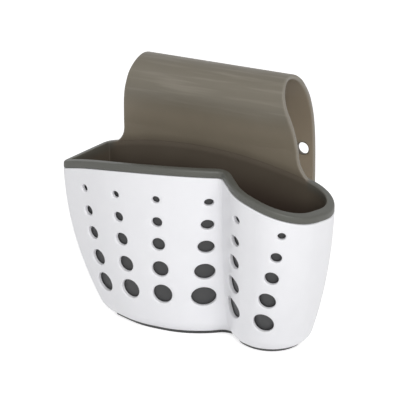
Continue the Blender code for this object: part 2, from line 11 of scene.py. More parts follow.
import bmesh
import bpy
import numpy as np
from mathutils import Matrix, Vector


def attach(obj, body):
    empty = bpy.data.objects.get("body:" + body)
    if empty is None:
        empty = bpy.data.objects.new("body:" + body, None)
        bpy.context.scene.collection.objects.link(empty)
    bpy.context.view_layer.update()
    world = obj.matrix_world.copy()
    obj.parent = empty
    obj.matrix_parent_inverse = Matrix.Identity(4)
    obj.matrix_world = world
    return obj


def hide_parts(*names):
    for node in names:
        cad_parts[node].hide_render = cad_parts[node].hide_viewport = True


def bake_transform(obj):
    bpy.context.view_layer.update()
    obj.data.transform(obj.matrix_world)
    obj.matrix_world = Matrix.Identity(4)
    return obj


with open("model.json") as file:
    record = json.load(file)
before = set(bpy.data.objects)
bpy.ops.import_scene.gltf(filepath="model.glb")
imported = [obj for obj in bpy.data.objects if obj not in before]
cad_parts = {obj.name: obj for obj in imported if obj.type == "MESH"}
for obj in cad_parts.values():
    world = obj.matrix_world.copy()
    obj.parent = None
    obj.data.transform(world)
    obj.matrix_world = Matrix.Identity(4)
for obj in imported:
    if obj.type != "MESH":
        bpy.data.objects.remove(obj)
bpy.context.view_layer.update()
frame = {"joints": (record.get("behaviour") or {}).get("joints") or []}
MM = 0.001

# %% [markdown]
# ## Camera
# The camera comes first, because everything else is judged through it. Its angle and its distance
# were worked out from the rim, the foot and the strap in the photograph. A long lens far away keeps
# the perspective as mild as it is there.

# %% Camera
CAMERA_AZIMUTH = math.radians(29.23)
CAMERA_ELEVATION = math.radians(20.72)
CAMERA_DISTANCE = 1.02216
CAMERA_TARGET = Vector((-0.00386, -0.00321, 0.0715))
SENSOR_WIDTH = 36.0
LENS_SHARE = 1891.0 / 400.0


def look_direction(azimuth, elevation):
    """Unit vector from the camera to its target."""
    level = math.cos(elevation)
    return Vector((-math.sin(azimuth) * level, math.cos(azimuth) * level, -math.sin(elevation)))


camera_data = bpy.data.cameras.new("camera")
camera_data.sensor_width = SENSOR_WIDTH
camera_data.lens = SENSOR_WIDTH * LENS_SHARE
camera = bpy.data.objects.new("camera", camera_data)
bpy.context.scene.collection.objects.link(camera)
view = look_direction(CAMERA_AZIMUTH, CAMERA_ELEVATION)
camera.location = CAMERA_TARGET - view * CAMERA_DISTANCE
camera.rotation_euler = view.to_track_quat("-Z", "Y").to_euler()
bpy.context.scene.camera = camera
print("Camera lens in mm:", round(camera_data.lens, 1))

# %% [markdown]
# ## Plan outlines
# Seen from above, sleeve and liner are a polygon with rounded corners: a broad lobe, a sharp crease
# and a narrow lobe in front, and a straight back. One polygon stands at the rim and a smaller one
# at the base, and every height between is a blend of the two. A drawn curve could do the same, but
# corners with radii keep the wall thickness exact when the outline moves inwards.

# %% Driving sizes
OUTLINE_SIZE = 100.0 * MM
BLEND_HEIGHT = 90.0 * MM
BLEND_POWER = 2.1
BOTTOM_FILLET = 9.1 * MM
SMALLEST_RADIUS = 0.6 * MM
RIM_CORNER_SHARES = (
    (-0.628, 0.152, 0.055),
    (-0.687, -0.240, 0.050),
    (-0.340, -0.330, 0.780),
    (0.035, -0.340, 0.760),
    (0.271, -0.160, 0.025),
    (0.442, -0.336, 0.300),
    (0.794, -0.400, 0.227),
    (0.914, 0.152, 0.212),
)
BASE_CORNER_SHARES = (
    (-0.447, 0.105, 0.100),
    (-0.449, -0.178, 0.077),
    (-0.206, -0.258, 0.480),
    (0.113, -0.238, 0.480),
    (0.277, -0.092, 0.039),
    (0.362, -0.188, 0.200),
    (0.671, -0.290, 0.205),
    (0.726, 0.105, 0.120),
)
RIM_CORNERS = np.array(RIM_CORNER_SHARES) * OUTLINE_SIZE
BASE_CORNERS = np.array(BASE_CORNER_SHARES) * OUTLINE_SIZE


def inset_corners(corners, radii, inset):
    """Moves every edge of the sharp outline inwards and fits the corner radii."""
    edges = np.roll(corners, -1, 0) - corners
    edges = edges / np.hypot(edges[:, 0], edges[:, 1])[:, None]
    inward = np.stack([-edges[:, 1], edges[:, 0]], 1)
    moved = []
    fitted = []
    for i in range(len(corners)):
        both = inward[i - 1] + inward[i]
        moved.append(corners[i] + both * inset / (1.0 + inward[i - 1] @ inward[i]))
        turn = edges[i - 1][0] * edges[i][1] - edges[i - 1][1] * edges[i][0]
        if turn > 0.0:
            fitted.append(max(radii[i] - inset, SMALLEST_RADIUS))
        else:
            fitted.append(radii[i] + inset)
    return np.array(moved), np.array(fitted)


def corner_arc(corners, radii, i, count):
    """Points of the arc at one corner."""
    here = corners[i]
    before = corners[i - 1] - here
    after = corners[(i + 1) % len(corners)] - here
    before = before / np.hypot(*before)
    after = after / np.hypot(*after)
    half = math.acos(np.clip(before @ after, -1.0, 1.0)) / 2.0
    middle = before + after
    middle = middle / np.hypot(*middle)
    centre = here + middle * radii[i] / math.sin(half)
    tangent = radii[i] / math.tan(half)
    first = here + before * tangent - centre
    last = here + after * tangent - centre
    start = math.atan2(first[1], first[0])
    sweep = math.atan2(last[1], last[0]) - start
    sweep = (sweep + math.pi) % (2.0 * math.pi) - math.pi
    angles = start + sweep * np.linspace(0.0, 1.0, count)
    return centre + radii[i] * np.column_stack([np.cos(angles), np.sin(angles)])


# %% [markdown]
# ## Rows of points
# A wall is a stack of closed rows of points. Rows near the rim bend with it, because the rim is
# highest in the middle and falls towards both ends. The outlines are worked out once on a ladder of
# heights, and each point then slides up or down that ladder, which is quick and keeps every point
# on the true surface.

# %% Rows along the walls
RIM_HEIGHT = 94.1 * MM
RIM_DROP = 21.3 * MM
RIM_REACH = 100.0 * MM
ARCH_POWER = 3
LADDER_STEPS = 60


def rim_line(x):
    """Height of the sleeve's top edge."""
    return RIM_HEIGHT - RIM_DROP * (x / RIM_REACH) ** 2


def blend_corners(height):
    """Sharp corners and radii of the outer outline at a height."""
    share = max(0.0, (BLEND_HEIGHT - height) / BLEND_HEIGHT) ** BLEND_POWER
    return RIM_CORNERS + (BASE_CORNERS - RIM_CORNERS) * share


def on_fillet(depth, other):
    """Inset of the bottom fillet at a height, or its height at an inset."""
    reach = BOTTOM_FILLET - depth
    return BOTTOM_FILLET - math.sqrt(reach ** 2 - min(BOTTOM_FILLET - other, reach) ** 2)


class Wall:
    """Surface that lies a depth inside the sleeve's outer face, with its own number of points."""

    def __init__(self, depth, arc_points, straight_points, back_shares):
        self.depth = depth
        self.counts = (arc_points, straight_points)
        self.back_shares = np.array(back_shares)
        low = np.linspace(0.0, BOTTOM_FILLET, LADDER_STEPS)
        high = np.linspace(BOTTOM_FILLET, RIM_HEIGHT, LADDER_STEPS)
        self.heights = np.concatenate([low, high[1:]])
        self.ladder = np.array([self.outline(height) for height in self.heights])
        self.size = self.ladder.shape[1]
        self.first_back = self.size - len(self.back_shares)

    def close(self, corners, radii):
        """Outline through arcs, straight stretches and the columns of the back edge."""
        arc_points, straight_points = self.counts
        arcs = [corner_arc(corners, radii, i, arc_points) for i in range(len(corners))]
        straight = np.linspace(0.0, 1.0, straight_points + 2)[1:-1]
        stretches = [straight] * (len(arcs) - 1) + [self.back_shares]
        parts = []
        for arc, after, shares in zip(arcs, arcs[1:] + arcs[:1], stretches):
            parts.extend([arc, arc[-1] + (after[0] - arc[-1]) * shares[:, None]])
        return np.concatenate(parts)

    def plan(self, height, inset):
        """Plan outline at a height, inset from the unfilleted one."""
        blend = blend_corners(height)
        return self.close(*inset_corners(blend[:, :2], blend[:, 2], inset))

    def outline(self, height):
        """Plan outline at a height, with the bottom fillet."""
        inset = on_fillet(self.depth, height) if height < BOTTOM_FILLET else self.depth
        return self.plan(height, inset)

    def flat(self, height, inset):
        """Level row at the foot or on the floor."""
        return np.column_stack([self.plan(height, inset), np.full(self.size, height)])

    def at(self, heights):
        """Points at given heights, one for each column."""
        heights = np.clip(heights, self.heights[0], self.heights[-1])
        upper = np.clip(np.searchsorted(self.heights, heights), 1, len(self.heights) - 1)
        low = self.heights[upper - 1]
        share = ((heights - low) / (self.heights[upper] - low))[:, None]
        columns = np.arange(self.size)
        below = self.ladder[upper - 1, columns]
        return below + (self.ladder[upper, columns] - below) * share

    def ring(self, level, lift=0.0):
        """Closed row at a level that bends with the rim as it nears it."""
        share = (level / RIM_HEIGHT) ** ARCH_POWER
        nominal = self.at(np.full(self.size, level))
        heights = level + share * (rim_line(nominal[:, 0]) - RIM_HEIGHT)
        spots = self.at(heights)
        heights = level + share * (rim_line(spots[:, 0]) - RIM_HEIGHT)
        return np.column_stack([spots, heights + lift])


def fillet_levels(depth, start_height, steps):
    """Heights of the rows on the bottom fillet, from the lowest one up."""
    reach = BOTTOM_FILLET - depth
    start = math.acos((BOTTOM_FILLET - start_height) / reach)
    angles = np.linspace(start, math.pi / 2.0, steps + 1)[:-1]
    return BOTTOM_FILLET - reach * np.cos(angles)


# %% [markdown]
# ## The frame's place
# The CAD model was moved so that its origin is under the middle of its box. The hinge of the strap
# is known in both places, so the difference between them is the move for every piece here.

# %% Strap path and place
STRAP_THICKNESS = 2.8 * MM
STRAP_PATH_SHARES = (
    (0.094, 1.050, -0.488, 0.584),
    (0.075, 1.140, -0.476, 0.574),
    (0.060, 1.200, -0.465, 0.562),
    (0.050, 1.250, -0.454, 0.548),
    (0.048, 1.292, -0.444, 0.534),
    (0.059, 1.350, -0.432, 0.518),
    (0.088, 1.396, -0.419, 0.506),
    (0.131, 1.426, -0.410, 0.497),
    (0.182, 1.436, -0.406, 0.494),
    (0.240, 1.424, -0.409, 0.496),
    (0.283, 1.401, -0.415, 0.502),
    (0.320, 1.366, -0.424, 0.511),
    (0.368, 1.289, -0.436, 0.523),
    (0.397, 1.208, -0.442, 0.529),
    (0.414, 1.129, -0.448, 0.533),
    (0.424, 1.009, -0.452, 0.537),
    (0.428, 0.833, -0.454, 0.539),
    (0.428, 0.680, -0.454, 0.539),
)
hinge = next(joint for joint in frame["joints"] if joint["name"] == "flap_bend")
depth, height, left, right = max(STRAP_PATH_SHARES, key=lambda row: row[1])
crown = np.array(((left + right) / 2.0, depth, height)) * OUTLINE_SIZE
place = Vector(np.array(hinge["pos_m"]) - crown)
print("Move of every piece in mm:", [round(v / MM, 3) for v in place])

# %% [markdown]
# ## Helpers for meshes
# Each piece ends as a plain mesh with its place in its points, so the object itself stays at the
# origin. Modifiers are baked on the evaluated object and removed before the piece joins the frame.

# %% Mesh helpers
def make_object(name, vertices, faces):
    """Object from points and faces, with outward normals."""
    mesh = bpy.data.meshes.new(name)
    mesh.from_pydata([tuple(v) for v in vertices], [], [[int(i) for i in face] for face in faces])
    work = bmesh.new()
    work.from_mesh(mesh)
    bmesh.ops.recalc_face_normals(work, faces=work.faces)
    work.to_mesh(mesh)
    work.free()
    obj = bpy.data.objects.new(name, mesh)
    bpy.context.scene.collection.objects.link(obj)
    return obj


def join_rows(numbers):
    """Quads between closed rows of point numbers."""
    after = np.roll(numbers, -1, axis=1)
    quads = np.stack([numbers[:-1], after[:-1], after[1:], numbers[1:]], axis=-1)
    return quads.reshape(-1, 4).tolist()


def stack_faces(row_count, size, closed=False):
    """Quads between the rows of a stack, which may end where it starts."""
    numbers = np.arange(row_count * size).reshape(row_count, size)
    return join_rows(np.vstack([numbers, numbers[:1]]) if closed else numbers)


def bake(obj):
    """Turns the evaluated object into its mesh and removes the modifiers."""
    bpy.context.view_layer.update()
    graph = bpy.context.evaluated_depsgraph_get()
    mesh = bpy.data.meshes.new_from_object(obj.evaluated_get(graph))
    obj.modifiers.clear()
    old = obj.data
    obj.data = mesh
    bpy.data.meshes.remove(old)


def shade(obj, angle):
    """Smooth shading with kept edges."""
    obj.data.polygons.foreach_set("use_smooth", [True] * len(obj.data.polygons))
    obj.data.set_sharp_from_angle(angle=math.radians(angle))


def settle(obj):
    """Moves a finished mesh to its place in the frame."""
    for vertex in obj.data.vertices:
        vertex.co += place
    obj.data.update()
    print(obj.name, "faces:", len(obj.data.polygons))


def put_attribute(obj, name, values):
    """Stores a number or a vector for each point of a mesh."""
    values = np.array(values, np.float32)
    kind, field = ("FLOAT_VECTOR", "vector") if values.ndim == 2 else ("FLOAT", "value")
    obj.data.attributes.new(name, kind, "POINT").data.foreach_set(field, values.ravel())


# %% [markdown]
# ## The punch
# The sleeve has 35 oval openings, the strap 4 round holes and the floor 6 drains. All of them are
# one rule: put a punch on a spot, let its rim follow the curved surface, give the edge a soft
# radius, and cut. Geometry Nodes do this once for all three. The punch is a stack of rings whose
# flare and rise are shares of the edge radius. A ray cast on the surface drops every ring on it, so
# that the rounded edge is as wide all the way round.

# %% Geometry Nodes tree for openings
EDGE_CUT_ANGLE = math.radians(60.0)
EDGE_STEPS = 4
CAP_RISE = 3.0


def punch_profile(two_sided):
    """Rings of the punch: flare and rise in edge radii, and the share of the wall passed."""
    top = math.sin(EDGE_CUT_ANGLE)
    start = math.cos(EDGE_CUT_ANGLE)
    rings = [(1.0 - start + top, start + CAP_RISE, 0.0), (1.0 - start + top, start, 0.0)]
    for angle in np.linspace(EDGE_CUT_ANGLE, 0.0, EDGE_STEPS + 1):
        rings.append((1.0 - math.cos(angle), math.sin(angle) - top, 0.0))
    if two_sided:
        return rings + [(flare, -rise, 1.0) for flare, rise, passed in reversed(rings)]
    return rings + [(0.0, -1.0, 1.0)]


def make_punch(name, two_sided, segments):
    """Punch mesh with its shares stored as attributes."""
    rings = punch_profile(two_sided)
    angles = np.linspace(0.0, 2.0 * math.pi, segments, endpoint=False)
    unit = np.column_stack([np.cos(angles), np.sin(angles), np.zeros(segments)])
    vertices = [(x, y, -float(row)) for row in range(len(rings)) for x, y, z in unit]
    faces = stack_faces(len(rings), segments)
    faces.append(range(segments))
    faces.append(range((len(rings) - 1) * segments, len(rings) * segments))
    obj = make_object(name, vertices, faces)
    put_attribute(obj, "unit", np.tile(unit, (len(rings), 1)))
    put_attribute(obj, "profile", np.repeat(rings, segments, axis=0))
    return obj


def make_spots(name, spots):
    """Points to punch: place, sideways and outward directions, and half sizes."""
    columns = list(zip(*spots))
    obj = make_object(name, columns[0], [])
    for label, values in zip(("spot", "sideways", "outward", "halves"), columns):
        put_attribute(obj, label, values)
    return obj


class Tree:
    """Small helper that adds nodes and links to a node tree."""

    def __init__(self, tree):
        self.tree = tree

    def feed(self, value, socket):
        """Links an output to an input, or writes a value there."""
        if isinstance(value, bpy.types.NodeSocket):
            self.tree.links.new(value, socket)
        else:
            socket.default_value = value

    def add(self, kind, feeds=None, **settings):
        """Adds a node, feeds its inputs and returns its outputs."""
        node = self.tree.nodes.new(kind)
        for name, value in settings.items():
            setattr(node, name, value)
        for key, value in (feeds or {}).items():
            self.feed(value, node.inputs[key])
        return node.outputs

    def vector(self, operation, first, second):
        """Vector Math node on two inputs."""
        feeds = {0: first, "Scale" if operation == "SCALE" else 1: second}
        return self.add("ShaderNodeVectorMath", feeds, operation=operation)[0]

    def number(self, operation, first, second):
        """Math node on two inputs."""
        return self.add("ShaderNodeMath", {0: first, 1: second}, operation=operation)[0]

    def named(self, name):
        """Reads a vector attribute of the geometry."""
        return self.add("GeometryNodeInputNamedAttribute", {"Name": name},
                        data_type="FLOAT_VECTOR")["Attribute"]

    def split(self, vector):
        """Parts of a vector."""
        return self.add("ShaderNodeSeparateXYZ", {0: vector})


def add_sockets(group, where, kind, *names):
    """Sockets of one kind on a node group."""
    for name in names:
        group.interface.new_socket(name, in_out=where, socket_type="NodeSocket" + kind)


def build_punch_tree():
    """Node tree that cuts one punch at every spot."""
    group = bpy.data.node_groups.new("punch_openings", "GeometryNodeTree")
    add_sockets(group, "INPUT", "Geometry", "Geometry")
    add_sockets(group, "INPUT", "Object", "Spots", "Punch")
    add_sockets(group, "INPUT", "Float", "Edge Radius", "Wall", "Reach")
    add_sockets(group, "INPUT", "Material", "Material")
    add_sockets(group, "OUTPUT", "Geometry", "Geometry")
    tree = Tree(group)
    given = tree.add("NodeGroupInput")
    spots = tree.add("GeometryNodeObjectInfo", {"Object": given["Spots"]})["Geometry"]
    punch = tree.add("GeometryNodeObjectInfo", {"Object": given["Punch"]})["Geometry"]
    copies = tree.add("GeometryNodeInstanceOnPoints", {"Points": spots, "Instance": punch})[0]
    real = tree.add("GeometryNodeRealizeInstances", {"Geometry": copies})[0]

    sideways = tree.named("sideways")
    outward = tree.named("outward")
    upward = tree.vector("CROSS_PRODUCT", outward, sideways)
    unit = tree.split(tree.named("unit"))
    halves = tree.split(tree.named("halves"))
    profile = tree.split(tree.named("profile"))
    flare = tree.number("MULTIPLY", profile[0], given["Edge Radius"])
    target = tree.named("spot")
    for axis, direction in enumerate((sideways, upward)):
        shift = tree.number("MULTIPLY", unit[axis], tree.number("ADD", halves[axis], flare))
        target = tree.vector("ADD", target, tree.vector("SCALE", direction, shift))

    away = tree.vector("SCALE", outward, given["Reach"])
    ray = tree.add("GeometryNodeRaycast", {
        "Target Geometry": given["Geometry"],
        "Source Position": tree.vector("ADD", target, away),
        "Ray Direction": tree.vector("SCALE", outward, -1.0),
        "Ray Length": tree.number("MULTIPLY", given["Reach"], 2.0),
    })
    choice = {"Switch": ray["Is Hit"], "False": target, "True": ray["Hit Position"]}
    ring = tree.add("GeometryNodeSwitch", choice, input_type="VECTOR")[0]
    rise = tree.number("MULTIPLY", profile[1], given["Edge Radius"])
    sink = tree.number("MULTIPLY", profile[2], given["Wall"])
    lift = tree.vector("SCALE", outward, tree.number("SUBTRACT", rise, sink))
    ring_place = {"Geometry": real, "Position": tree.vector("ADD", ring, lift)}
    moved = tree.add("GeometryNodeSetPosition", ring_place)[0]

    cut = tree.add("GeometryNodeMeshBoolean", {"Mesh 1": given["Geometry"], "Mesh 2": moved},
                   operation="DIFFERENCE", solver="MANIFOLD")["Mesh"]
    last = tree.add("GeometryNodeRealizeInstances", {"Geometry": cut})[0]
    finish = {"Geometry": last, "Material": given["Material"]}
    tree.add("NodeGroupOutput", {"Geometry": tree.add("GeometryNodeSetMaterial", finish)[0]})
    return group


punch_tree = build_punch_tree()


def punch_openings(obj, name, spots, two_sided, segments, sizes, material):
    """Runs the tree on an object and bakes the result."""
    modifier = obj.modifiers.new("openings", "NODES")
    modifier.node_group = punch_tree
    values = {"Spots": make_spots(name + "_spots", spots),
              "Punch": make_punch(name + "_punch", two_sided, segments),
              "Material": material, **sizes}
    for item in punch_tree.interface.items_tree:
        if item.in_out == "INPUT" and item.name in values:
            modifier[item.identifier] = values[item.name]
    bake(obj)
    for helper in ("Spots", "Punch"):
        bpy.data.objects.remove(values[helper])
    print(name, "openings:", len(spots))


print("Nodes in the punch tree:", len(punch_tree.nodes))

# %% [markdown]
# ## Shared finish: moulded skin
# Both materials are moulded, so both have the same kind of skin: a very fine grain from the tool, a
# slow waviness where the wall shrank while it cooled, and a little unevenness of colour and gloss.
# One shader group makes all of it. Each material gives it its own values and its own places: Object
# coordinates on the rigid sleeve, and places kept on the mesh where the moulding bends.

# %% Shader group
GRAIN_NOISE = (1800.0, 3.0)
WAVE_NOISE = (45.0, 2.0)
CLOUD_NOISE = (90.0, 4.0)
SHADE_SWING = 0.5
SKIN_BUMP = {"Distance": 0.1 * MM, "Strength": 0.35}


class ShaderTree(Tree):
    """The same helper with the nodes that materials use."""

    def attribute(self, name, output="Fac"):
        """Reads an attribute that is painted on the mesh."""
        return self.add("ShaderNodeAttribute", attribute_name=name)[output]

    def noise(self, vector, scale, detail):
        """Noise texture on a vector."""
        feeds = {"Vector": vector, "Scale": scale, "Detail": detail}
        return self.add("ShaderNodeTexNoise", feeds)["Fac"]

    def ramp(self, value, low, high):
        """Smooth 0 to 1 ramp of a value between two limits."""
        feeds = {"Value": value, "From Min": low, "From Max": high}
        return self.add("ShaderNodeMapRange", feeds, interpolation_type="SMOOTHSTEP")["Result"]

    def mix(self, factor, first, second):
        """Mix of two colours, which sockets 6 and 7 of the node take."""
        return self.add("ShaderNodeMix", {0: factor, 6: first, 7: second}, data_type="RGBA")[2]


def build_skin_group():
    """Grain, waviness and unevenness of a moulded surface."""
    group = bpy.data.node_groups.new("moulded_skin", "ShaderNodeTree")
    add_sockets(group, "INPUT", "Vector", "Vector")
    add_sockets(group, "INPUT", "Float", "Grain Height", "Wave Height", "Roughness", "Unevenness")
    add_sockets(group, "OUTPUT", "Float", "Height", "Roughness", "Shade")
    tree = ShaderTree(group)
    given = tree.add("NodeGroupInput")
    grain = tree.noise(given["Vector"], *GRAIN_NOISE)
    wave = tree.noise(given["Vector"], *WAVE_NOISE)
    cloud = tree.noise(given["Vector"], *CLOUD_NOISE)
    fine = tree.number("MULTIPLY", grain, given["Grain Height"])
    slow = tree.number("MULTIPLY", wave, given["Wave Height"])
    swing = tree.number("MULTIPLY", tree.number("SUBTRACT", cloud, 0.5), given["Unevenness"])
    tree.add("NodeGroupOutput", {
        "Height": tree.number("ADD", fine, slow),
        "Roughness": tree.number("ADD", given["Roughness"], swing),
        "Shade": tree.number("ADD", 1.0, tree.number("MULTIPLY", swing, SHADE_SWING)),
    })
    return group


skin_group = build_skin_group()


def start_material(name, skin, spot_attribute=None):
    """Material with the skin group placed in it. Returns the parts that a finish builds on."""
    material = bpy.data.materials.new(name)
    material.use_nodes = True
    tree = ShaderTree(material.node_tree)
    shader = material.node_tree.nodes["Principled BSDF"].inputs
    if spot_attribute:
        spot = tree.attribute(spot_attribute, "Vector")
    else:
        spot = tree.add("ShaderNodeTexCoord")["Object"]
    surface = tree.add("ShaderNodeGroup", {"Vector": spot, **skin}, node_tree=skin_group)
    bump = tree.add("ShaderNodeBump", {"Height": surface["Height"], **SKIN_BUMP})
    tree.feed(bump["Normal"], shader["Normal"])
    tree.feed(surface["Roughness"], shader["Roughness"])
    return material, tree, shader, surface["Shade"], spot


print("Shader group ready:", skin_group.name)

# %% [markdown]
# ## White sleeve finish
# The sleeve is injection-moulded plastic in a cool white with a satin gloss. It isn't one flat
# colour: it is a touch greyer low down, and a thin clear coat gives it the soft sheen of the mould.

# %% White material
WHITE = (0.86, 0.86, 0.885, 1.0)
WHITE_LOW = (0.84, 0.84, 0.865, 1.0)
WHITE_LOW_TOP = 45.0 * MM
WHITE_SKIN = {"Grain Height": 0.25, "Wave Height": 0.5, "Roughness": 0.36, "Unevenness": 0.12}
WHITE_COAT = {"Coat Weight": 0.12, "Coat Roughness": 0.2}


def make_white():
    """Satin white moulded plastic."""
    material, tree, shader, shade_value, spot = start_material("sleeve_white_moulded", WHITE_SKIN)
    clean = tree.ramp(tree.split(spot)[2], 0.0, WHITE_LOW_TOP)
    colour = tree.mix(clean, WHITE_LOW, WHITE)
    tree.feed(tree.vector("SCALE", colour, shade_value), shader["Base Color"])
    for name, value in WHITE_COAT.items():
        shader[name].default_value = value
    return material


white = make_white()
print("Material:", white.name)

# %% [markdown]
# ## Smoke elastomer finish
# Liner and strap are one soft moulding in a smoke-grey rubber that lets a little light through. The
# pocket goes dark brown with depth as painted shade, the strap above it is taupe, and painted light
# makes the rubber warm and pale where light comes through it: on the panel above the rim, on the
# side that faces the loop, and as a painted highlight on the thin edges. The rim is a more neutral
# grey, and the wall behind the sleeve and the foot are painted dark as shade. Attributes painted on
# the mesh say where each of these lies. Faint streaks run along the crown, as the rubber flowed
# across it, painted lighter as a sheen of the light on them. The strap bends, so its pattern doesn't
# read
# Object coordinates, which would slide over it: it reads where each point stood before the bend,
# kept as one more attribute.

# %% Smoke material
SMOKE_SKIN = {"Grain Height": 0.15, "Wave Height": 0.8, "Roughness": 0.46, "Unevenness": 0.16}
# Painted shade makes the pocket dark brown with depth below the rim, and painted light makes the
# panel above the rim pale, as light comes through the rubber.
SMOKE_DEEP_SHADE = (0.052, 0.036, 0.027, 1.0)
SMOKE_SHADE_AND_LIGHT_FADES = (
    (-20.0 * MM, -2.0 * MM, (0.094, 0.076, 0.056, 1.0)),
    (1.0 * MM, 4.4 * MM, (0.130, 0.107, 0.080, 1.0)),
    (4.2 * MM, 5.0 * MM, (0.178, 0.149, 0.110, 1.0)),
    (4.8 * MM, 9.5 * MM, (0.220, 0.187, 0.138, 1.0)),
)
SMOKE_STRAP = (0.162, 0.144, 0.110, 1.0)
STRAP_FADE = (112.0 * MM, 127.0 * MM)
# Streaks on the crown: flow marks of the rubber, painted lighter as a painted sheen of the light.
SMOKE_STREAK_SHEEN = (0.205, 0.184, 0.146, 1.0)
STREAK_FADE = (112.0 * MM, 130.0 * MM)
STREAK_STRETCH = (0.06, 1.0, 1.0)
STREAK_NOISE = (420.0, 2.0)
STREAK_RANGE = (0.46, 0.74)
# Marks painted on the mesh: painted light on the side facing the loop, painted shade on the outer
# wall and foot, the rim's own grey, and a painted highlight on thin edges.
SMOKE_PAINTED = (
    ("loop_side_light", (0.300, 0.245, 0.178, 1.0)),
    ("outer_wall_shade", (0.036, 0.036, 0.037, 1.0)),
    ("rim", (0.086, 0.087, 0.075, 1.0)),
    ("thin_edge_highlight", (0.225, 0.205, 0.170, 1.0)),
)


def make_smoke():
    """Smoke-grey elastomer."""
    start = start_material("smoke_elastomer", SMOKE_SKIN, "rest_spot")
    material, tree, shader, shade_value, spot = start
    height = tree.split(spot)[2]
    above = tree.attribute("above_rim")
    # Painted shade deep in the pocket, fading into painted light on the panel above the rim.
    colour = SMOKE_DEEP_SHADE
    for low, high, tint in SMOKE_SHADE_AND_LIGHT_FADES:
        colour = tree.mix(tree.ramp(above, low, high), colour, tint)
    colour = tree.mix(tree.ramp(height, *STRAP_FADE), colour, SMOKE_STRAP)
    # Flow streaks along the top of the crown, painted lighter as a painted sheen of the light on
    # them.
    stretched = tree.add("ShaderNodeMapping", {"Scale": STREAK_STRETCH, "Vector": spot})["Vector"]
    streak_sheen = tree.ramp(tree.noise(stretched, *STREAK_NOISE), *STREAK_RANGE)
    streak_sheen = tree.number("MULTIPLY", streak_sheen, tree.ramp(height, *STREAK_FADE))
    colour = tree.mix(streak_sheen, colour, SMOKE_STREAK_SHEEN)
    # Painted light, painted shade, the rim's grey and painted highlights, each where its attribute
    # lies.
    for name, tint in SMOKE_PAINTED:
        colour = tree.mix(tree.attribute(name), colour, tint)
    tree.feed(tree.vector("SCALE", colour, shade_value), shader["Base Color"])
    return material


smoke = make_smoke()
print("Material:", smoke.name)

# %% [markdown]
# ## The sleeve
# The sleeve is the main piece: a thin two-lobed shell, open at the top and at the bottom. It is
# built as one closed stack of rows, up the outside, over the top edge and down the inside, so that
# it has a real wall thickness. A Solidify modifier could give the wall too, but would not keep the
# inside true where the crease is sharp.

# %% Sleeve shell
SLEEVE_WALL = 2.2 * MM
SLEEVE_EDGE = 0.4 * MM
FOOT_HEIGHT = 2.4 * MM
FOOT_INSET = 4.2 * MM
FOOT_GAP = 0.4 * MM
SLEEVE_ARC_POINTS = 14
SLEEVE_STRAIGHT_POINTS = 9
SLEEVE_BACK_POINTS = 46
SLEEVE_LEVELS = 52
SLEEVE_FILLET_STEPS = 12
TOP_EDGE_STEPS = 3
SLEEVE_SMOOTH_ANGLE = 42.0


def build_sleeve():
    """Closed shell of the sleeve without its openings."""
    back = np.linspace(0.0, 1.0, SLEEVE_BACK_POINTS + 2)[1:-1]
    detail = (SLEEVE_ARC_POINTS, SLEEVE_STRAIGHT_POINTS, back)
    outer = Wall(0.0, *detail)
    inner = Wall(SLEEVE_WALL, *detail)
    levels = np.linspace(BOTTOM_FILLET, RIM_HEIGHT, SLEEVE_LEVELS + 1)[:-1]
    rows = [outer.ring(h) for h in fillet_levels(0.0, FOOT_HEIGHT, SLEEVE_FILLET_STEPS)]
    rows.extend([outer.ring(h) for h in levels])
    for angle in np.linspace(0.0, math.pi / 2.0, TOP_EDGE_STEPS + 1):
        edge = Wall(SLEEVE_EDGE * (1.0 - math.cos(angle)), *detail)
        rows.append(edge.ring(RIM_HEIGHT, SLEEVE_EDGE * (math.sin(angle) - 1.0)))
    rows.append(inner.ring(RIM_HEIGHT))
    rows.extend([inner.ring(h) for h in reversed(levels)])
    lip_height = on_fillet(SLEEVE_WALL, FOOT_INSET - FOOT_GAP)
    low = fillet_levels(SLEEVE_WALL, lip_height, SLEEVE_FILLET_STEPS)
    rows.extend([inner.ring(h) for h in reversed(low)])
    rows.append(outer.flat(FOOT_HEIGHT, FOOT_INSET - FOOT_GAP))
    faces = stack_faces(len(rows), outer.size, closed=True)
    return make_object("sleeve", np.concatenate(rows), faces), outer


sleeve, sleeve_outer = build_sleeve()
print("Sleeve shell faces:", len(sleeve.data.polygons))

# %% [markdown]
# ## Oval openings
# Six columns of ovals fan over the front and a seventh goes down the left side. They grow from
# small at the top to large at the bottom, and their rows sag towards the ends as the rim does. Only
# the ends of each column are given, and every opening between them follows from its share of the
# way. Each column has a breadth of its own too, because the ovals aren't equally wide in all of
# them.

# %% Spots of the openings
ROW_TOP_SHARE = 0.8512
ROW_BOTTOM_SHARE = 0.2657
ROW_STEP_SHARES = (0.0, 0.232, 0.465, 0.729, 1.0)
ROW_DROP = 10.3 * MM
OVAL_SMALL = np.array((5.4, 3.8)) * MM
OVAL_LARGE = np.array((14.2, 11.1)) * MM
FRONT_COLUMNS = (
    (-0.506, -0.406, 0.78),
    (-0.283, -0.221, 0.78),
    (-0.043, -0.026, 0.77),
    (0.218, 0.184, 0.96),
    (0.439, 0.366, 1.15),
    (0.717, 0.588, 0.80),
)
SIDE_COLUMN = (-0.150, -0.110, 1.0)
OVAL_SEGMENTS = 44
OVAL_PUNCH = {"Edge Radius": 0.9 * MM, "Wall": SLEEVE_WALL, "Reach": 6.0 * MM}


def row_height(share, x):
    """Height of a row of openings."""
    level = RIM_HEIGHT * (ROW_TOP_SHARE + (ROW_BOTTOM_SHARE - ROW_TOP_SHARE) * share)
    return level - ROW_DROP * (x / RIM_REACH) ** 2


